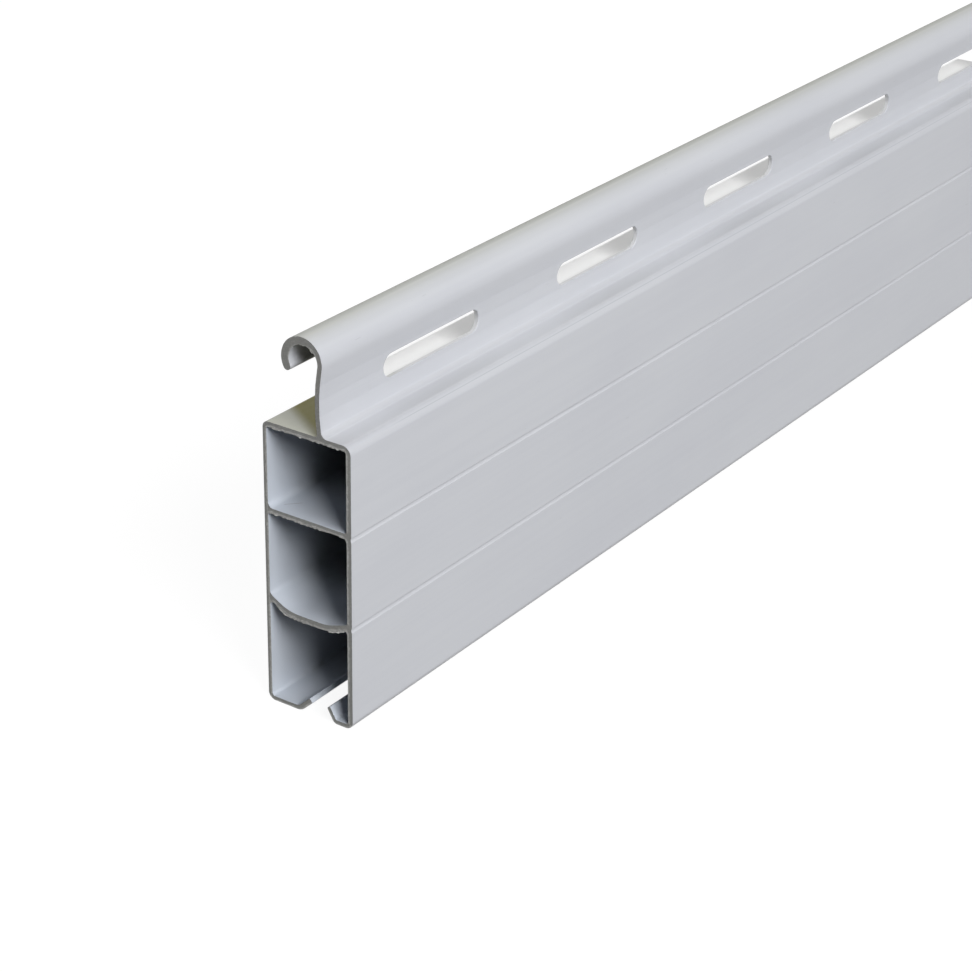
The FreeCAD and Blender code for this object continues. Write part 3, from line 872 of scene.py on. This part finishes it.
def slat_plan(section, vents, saw, skin, sawn):
    """Sweeps the section along the slat, caps both sawn ends and cuts the slot row."""
    plan = ShapePlan("slat sweep", {
        "Length": section.length, "Rows": section.rows,
        "Rim Width": saw.rim, "Wobble": saw.wobble, "Edge Row": saw.edge_row,
        "Slot Length": vents.length, "Slot Width": vents.width,
        "Slot Pitch": vents.pitch, "Slot Height": vents.height,
        "First Slot": vents.first, "Slots": vents.count,
        "Thickness": section.thickness, "Seed": saw.seed,
        "Skin": skin, "Sawn": sawn,
    })
    length, rows = plan.value("Length"), plan.value("Rows")
    rim_width, edge_row = plan.value("Rim Width"), plan.value("Edge Row")

    # every point of the outline knows the way into its wall
    tangent = plan.node("GeometryNodeInputTangent")
    along, up, _ = plan.parts(tangent)
    inward = plan.vector(-up, along, 0.0)
    outline = plan.storing(plan.value("Geometry"), "inward", inward, "FLOAT_VECTOR")
    # which side of each wall takes the painted shade of the sawn face
    beside, _, _ = plan.parts(plan.node("GeometryNodeInputPosition"))
    outermost = beside.size() > plan.value("Thickness") * 0.49
    smeared = (-along).rise(0.2, 0.7).at_least(outermost)
    outline = plan.storing(outline, "smeared", smeared)
    stored = plan.node(
        "GeometryNodeInputNamedAttribute", {"data_type": "FLOAT_VECTOR"},
        {"Name": "inward"})

    # cross rows: a rim row and an end row at each end, then one close by, then even ones
    path = plan.node(
        "GeometryNodeCurvePrimitiveLine", None,
        {"Start": (0, 0, 0), "End": (0, 0, 1)})
    path = plan.node("GeometryNodeResampleCurve", None, {"Curve": path, "Count": rows})
    tube = plan.node(
        "GeometryNodeCurveToMesh", None, {"Curve": path, "Profile Curve": outline})
    spot = plan.node("GeometryNodeInputPosition")
    across, height, station = plan.parts(spot)
    row = station * (rows - 1)
    low_end, high_end = row < 1.5, row > rows - 2.5
    rim_row = ((row < 0.5) + (row > rows - 1.5)).held()
    even = ((row - 2.0) / (rows - 5)).held()
    reach = (even - 0.5) * (length - edge_row * 2.0) + (high_end - low_end) * edge_row
    rough = plan.ragged(across, height, reach, EDGE_WAVES)
    stray = rough.rise(0.45, 0.85) * plan.value("Wobble") * (low_end + high_end)
    shift = plan.scaled(stored, rim_row * rim_width + stray)
    target = plan.vectors("ADD", plan.vector(across, height, reach), shift)
    tube = plan.storing(tube, "rim", 1.0 - rim_row)
    tube = plan.node(
        "GeometryNodeSetPosition", None, {"Geometry": tube, "Position": target})

    # the sawn faces fill the rim rows
    caps = []
    for side in (-0.5, 0.5):
        end = length * side
        rough = plan.ragged(across, height, end, EDGE_WAVES)
        stray = rough.rise(0.45, 0.85) * plan.value("Wobble")
        inset = plan.scaled(stored, rim_width + stray)
        loop = plan.node(
            "GeometryNodeSetPosition", None, {"Geometry": outline, "Offset": inset})
        cap = plan.node("GeometryNodeFillCurve", None, {"Curve": loop})
        cap = plan.node(
            "GeometryNodeTransform", None,
            {"Geometry": cap, "Translation": plan.vector(0.0, 0.0, end)})
        if side < 0:
            cap = plan.node("GeometryNodeFlipFaces", None, {0: cap})
        caps.append(cap)
    whole = plan.node(
        "GeometryNodeMergeByDistance", None,
        {"Geometry": plan.joined((tube, *caps)), "Distance": 0.5e-6})

    # slot cutters: a round-ended plate as long as the slot, instanced at the pitch
    plate = plan.node(
        "GeometryNodeCurvePrimitiveQuadrilateral", None,
        {"Width": plan.value("Slot Length"), "Height": plan.value("Slot Width")})
    plate = plan.node(
        "GeometryNodeFilletCurve", {"mode": "POLY"},
        {"Curve": plate, "Count": 14, "Radius": plan.value("Slot Width") * 0.499})
    plate = plan.node("GeometryNodeFillCurve", {"mode": "NGONS"}, {"Curve": plate})
    top = plan.node(
        "GeometryNodeExtrudeMesh", None,
        {"Mesh": plate, "Offset": (0.0, 0.0, 1.0),
         "Offset Scale": plan.value("Thickness"), "Individual": False})
    bottom = plan.node("GeometryNodeFlipFaces", None, {0: plate})
    cutter = plan.node(
        "GeometryNodeMergeByDistance", None,
        {"Geometry": plan.joined((top, bottom)), "Distance": 1e-6})
    cutter = plan.node(
        "GeometryNodeTransform", None,
        {"Geometry": cutter, "Rotation": (0.0, -math.pi / 2, 0.0),
         "Translation": plan.vector(plan.value("Thickness") * 0.5, 0.0, 0.0)})
    start = plan.vector(
        0.0, plan.value("Slot Height"), plan.value("First Slot") - length * 0.5)
    places = plan.node(
        "GeometryNodeMeshLine", None,
        {"Count": plan.value("Slots"), "Start Location": start,
         "Offset": plan.vector(0.0, 0.0, plan.value("Slot Pitch"))})
    cutters = plan.node(
        "GeometryNodeInstanceOnPoints", None, {"Points": places, "Instance": cutter})
    cutters = plan.node("GeometryNodeRealizeInstances", None, {0: cutters})
    cut = plan.node(
        "GeometryNodeMeshBoolean", {"operation": "DIFFERENCE", "solver": "EXACT"},
        {0: whole, 1: cutters}, None)
    punched = Wire(plan, cut.outputs["Intersecting Edges"])
    whole = plan.storing(
        Wire(plan, cut.outputs[0]), "bevel_weight_edge", punched, domain="EDGE")

    # round walls are smooth, and edges sharper than a bend step stay sharp
    whole = plan.node(
        "GeometryNodeSetShadeSmooth", {"domain": "FACE"},
        {"Geometry": whole, "Shade Smooth": True})
    fold = plan.node("GeometryNodeInputMeshEdgeAngle")
    whole = plan.node(
        "GeometryNodeSetShadeSmooth", {"domain": "EDGE"},
        {"Geometry": whole, "Selection": fold > SHARP_FOLD, "Shade Smooth": False})
    whole = plan.node(
        "GeometryNodeTransform", None, {"Geometry": whole, "Rotation": LAY_DOWN})
    facing = plan.parts(plan.node("GeometryNodeInputNormal"))[0].size()
    place = plan.parts(plan.node("GeometryNodeInputPosition"))[0].size()
    at_end = (facing > 0.9) * (place > length * 0.5 - 0.02 * MM)
    plan.end(whole, [("Skin", None), ("Sawn", at_end)])
    return plan


def burr_plan(section, saw, burr):
    """Ragged beads along the lower edges of the walls, at both sawn ends."""
    plan = ShapePlan("saw burr", {
        "Length": section.length, "Burr": saw.burr, "Burr Step": saw.burr_step,
        "Seed": saw.seed, "Torn": burr,
    })
    thick = plan.value("Burr")
    path = plan.node(
        "GeometryNodeResampleCurve", {"mode": "LENGTH"},
        {"Curve": plan.value("Geometry"), "Length": plan.value("Burr Step")})
    beads = []
    for side in (-1.0, 1.0):
        across, height, _ = plan.parts(plan.node("GeometryNodeInputPosition"))
        torn = plan.ragged(across, height, side, TOOTH_WAVES, 2.0, 0.7)
        tufts = plan.ragged(across, height, side, TUFT_WAVES, 1.0)
        width = thick * (0.12 + torn.rise(0.3, 0.7) * 0.5 * tufts.rise(0.35, 0.6))
        end = plan.value("Length") * 0.5 - thick * 0.4
        bead = plan.node(
            "GeometryNodeSetPosition", None,
            {"Geometry": path, "Offset": plan.vector(
                0.0, (torn - 0.5) * thick * -0.7 - width * 0.5, end * side)})
        bead = plan.node(
            "GeometryNodeSetCurveRadius", None, {"Curve": bead, "Radius": width})
        ring = plan.node(
            "GeometryNodeCurvePrimitiveCircle", None, {"Resolution": 6, "Radius": 1.0})
        width_of_bead = plan.node("GeometryNodeInputRadius")
        bead = plan.node(
            "GeometryNodeCurveToMesh", None,
            {"Curve": bead, "Profile Curve": ring, "Scale": width_of_bead,
             "Fill Caps": True})
        beads.append(bead)
    whole = plan.node(
        "GeometryNodeSetShadeSmooth", None,
        {"Geometry": plan.joined(beads), "Shade Smooth": False})
    whole = plan.node(
        "GeometryNodeTransform", None, {"Geometry": whole, "Rotation": LAY_DOWN})
    plan.end(whole, [("Torn", None)])
    return plan


def turned_out(made):
    """Turns a closed mesh right side out."""
    mesh = made.data
    mesh.calc_loop_triangles()
    volume = 0.0
    for face in mesh.loop_triangles:
        a, b, c = (mesh.vertices[i].co for i in face.vertices)
        volume += a.dot(b.cross(c))
    if volume < 0:
        mesh.flip_normals()
    return made


def kept_in(made):
    """Holds a mesh inside the box of the solid."""
    for vertex in made.data.vertices:
        vertex.co = Vector(
            min(max(c, a), b) for c, a, b in zip(vertex.co, SLAT_LOW, SLAT_HIGH))
    return made


# Operators


class SLAT_OT_profile(bpy.types.Operator):
    """Build the slat: swept section, sawn ends and slot row"""

    bl_idname = "slat.profile"
    bl_label = "Slat Profile"

    def execute(self, context):
        scene = context.scene
        section, vents = scene.slat_section, scene.slat_vents
        saw, colours = scene.slat_saw, scene.slat_colours
        loops = [skin_outline(section), *chamber_outlines(section)]
        plan = slat_plan(
            section, vents, saw, skin_finish(section, colours),
            sawn_finish(section, colours))
        slat = kept_in(
            turned_out(plan.make("slat_profile", outline_curve("section", loops, True))))
        rounding = slat.modifiers.new("rims", "BEVEL")
        rounding.limit_method = "WEIGHT"
        rounding.width = vents.rim
        rounding.segments = 2
        rounding.use_clamp_overlap = False
        rounding.miter_outer = "MITER_SHARP"
        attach(slat, BODY)
        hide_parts(NODE)
        return {"FINISHED"}


class SLAT_OT_burr(bpy.types.Operator):
    """Build the ragged burr that the saw left along the walls"""

    bl_idname = "slat.burr"
    bl_label = "Saw Burr"

    def execute(self, context):
        scene = context.scene
        section, saw = scene.slat_section, scene.slat_saw
        plan = burr_plan(section, saw, burr_finish(scene.slat_colours))
        paths = outline_curve("burr_paths", burr_paths(section), False)
        burr = kept_in(turned_out(plan.make("saw_burr", paths)))
        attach(burr, BODY)
        return {"FINISHED"}


def soft_light(name, way, distance, size, power, aim):
    """A soft light, so wide and so high, that looks at a point."""
    lamp = bpy.data.lights.new(name, "AREA")
    lamp.shape = "RECTANGLE"
    lamp.energy = power
    lamp.size, lamp.size_y = size
    made = bpy.data.objects.new(name, lamp)
    bpy.context.scene.collection.objects.link(made)
    way = Vector(way).normalized()
    made.location = aim + way * distance
    made.rotation_euler = way.to_track_quat("Z", "Y").to_euler()
    return made


# the floor's own white beneath the slat, and from where to where it rises to full
NEAR_WHITE, WHITE_FROM, WHITE_TO = 0.92, 0.4, 2.5


def pale_floor(look):
    """A floor that looks white and still takes the slat's soft shadow."""
    half = look.floor_size / 2
    mesh = bpy.data.meshes.new("floor")
    mesh.from_pydata(
        [(-half, -half, 0), (half, -half, 0), (half, half, 0), (-half, half, 0)], [],
        [(0, 1, 2, 3)])
    floor = bpy.data.objects.new("floor", mesh)
    bpy.context.scene.collection.objects.link(floor)
    material = bpy.data.materials.new("pale floor")
    material.use_nodes = True
    plan = Plan(material.node_tree)
    plan.tree.nodes.clear()
    seen = seen_directly(plan)
    matt = plan.node(
        "ShaderNodeBsdfDiffuse", None, {"Color": (*[look.bounce] * 3, 1.0)})
    spots = plan.node("ShaderNodeTexCoord", None, None, None)
    away = plan.vectors("LENGTH", Wire(plan, spots.outputs["Object"]), output=1)
    white = plan.node(
        "ShaderNodeEmission", None,
        {"Strength": seen * (away.rise(WHITE_FROM, WHITE_TO) * (1.0 - NEAR_WHITE)
                             + NEAR_WHITE)})
    both = plan.node("ShaderNodeAddShader", None, {0: matt, 1: white})
    out = plan.node("ShaderNodeOutputMaterial", None, None, None)
    plan.tree.links.new(both.socket, out.inputs[0])
    mesh.materials.append(material)
    return floor


def seen_directly(plan):
    """1 for what the camera sees, also in gloss or through glass."""
    rays = plan.node("ShaderNodeLightPath", None, None, None)
    looks = [Wire(plan, rays.outputs["Is %s Ray" % kind])
             for kind in ("Camera", "Glossy", "Transmission")]
    return looks[0].at_least(looks[1]).at_least(looks[2])


def white_sky(look):
    """Plain light from all round, and a white background."""
    world = bpy.data.worlds.new("studio")
    world.use_nodes = True
    bpy.context.scene.world = world
    plan = Plan(world.node_tree)
    plan.tree.nodes.clear()
    seen = seen_directly(plan)
    strength = look.sky + seen * (1.0 - look.sky)
    sky = plan.node(
        "ShaderNodeBackground", None,
        {"Color": (1.0, 1.0, 1.0, 1.0), "Strength": strength})
    out = plan.node("ShaderNodeOutputWorld", None, None, None)
    plan.tree.links.new(sky.socket, out.inputs[0])


# right, up and back of the camera, one row each
CAMERA_WAYS = (
    (0.57210, -0.82002, 0.01650),
    (0.35226, 0.26383, 0.89795),
    (-0.74068, -0.50791, 0.43980),
)


# each light's name, the way to it, its distance, its width and height, and its power
LIGHTS = (
    ("left light", (-0.37, -0.74, 0.56), 1.2, (0.63, 0.50), "left_power"),
    ("right light", (0.5, -0.70, 0.5), 1.2, (0.7, 0.7), "right_power"),
    ("back light", (0.25, 0.62, 0.75), 1.4, (0.9, 0.9), "back_power"),
)


class SLAT_OT_stage(bpy.types.Operator):
    """Set up the pale floor, the soft light and the camera"""

    bl_idname = "slat.stage"
    bl_label = "Stage"

    def execute(self, context):
        scene = context.scene
        look = scene.slat_stage
        low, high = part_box(NODE)
        aim = (low + high) / 2
        floor = pale_floor(look)
        lamps = [
            soft_light(name, way, distance, size, getattr(look, power), aim)
            for name, way, distance, size, power in LIGHTS
        ]
        white_sky(look)
        lens = bpy.data.cameras.new("camera")
        lens.lens = look.lens
        lens.sensor_width = 36.0
        lens.clip_start = 0.01
        camera = bpy.data.objects.new("camera", lens)
        scene.collection.objects.link(camera)
        turn = Matrix(CAMERA_WAYS).transposed().to_euler()
        camera.location = look.eye
        camera.rotation_euler = turn
        scene.camera = camera
        scene.view_settings.view_transform = "Standard"
        return {"FINISHED"}


class SLAT_PT_panel(bpy.types.Panel):
    """Runs the build steps and shows every size"""

    bl_idname = "SLAT_PT_panel"
    bl_label = "Roller Shutter Slat"
    bl_space_type = "VIEW_3D"
    bl_region_type = "UI"
    bl_category = "Slat"

    def draw(self, context):
        layout = self.layout
        for step in STEPS:
            layout.operator(step.bl_idname)
        for name in GROUPS:
            box = layout.box()
            group = getattr(context.scene, name)
            for key in type(group).__annotations__:
                box.prop(group, key)


STEPS = (SLAT_OT_profile, SLAT_OT_burr, SLAT_OT_stage)
GROUPS = {
    "slat_section": SectionSizes,
    "slat_vents": VentSizes,
    "slat_saw": SawSizes,
    "slat_colours": FinishColours,
    "slat_stage": StageLook,
}


def register():
    for group in GROUPS.values():
        bpy.utils.register_class(group)
    for kind in (*STEPS, SLAT_PT_panel):
        bpy.utils.register_class(kind)
    for name, group in GROUPS.items():
        setattr(bpy.types.Scene, name, PointerProperty(type=group))


def unregister():
    for name in GROUPS:
        delattr(bpy.types.Scene, name)
    for kind in (SLAT_PT_panel, *reversed(STEPS)):
        bpy.utils.unregister_class(kind)
    for group in reversed(list(GROUPS.values())):
        bpy.utils.unregister_class(group)


def main():
    register()
    bpy.ops.slat.profile()
    bpy.ops.slat.burr()
    bpy.ops.slat.stage()


if __name__ == "__main__":
    main()
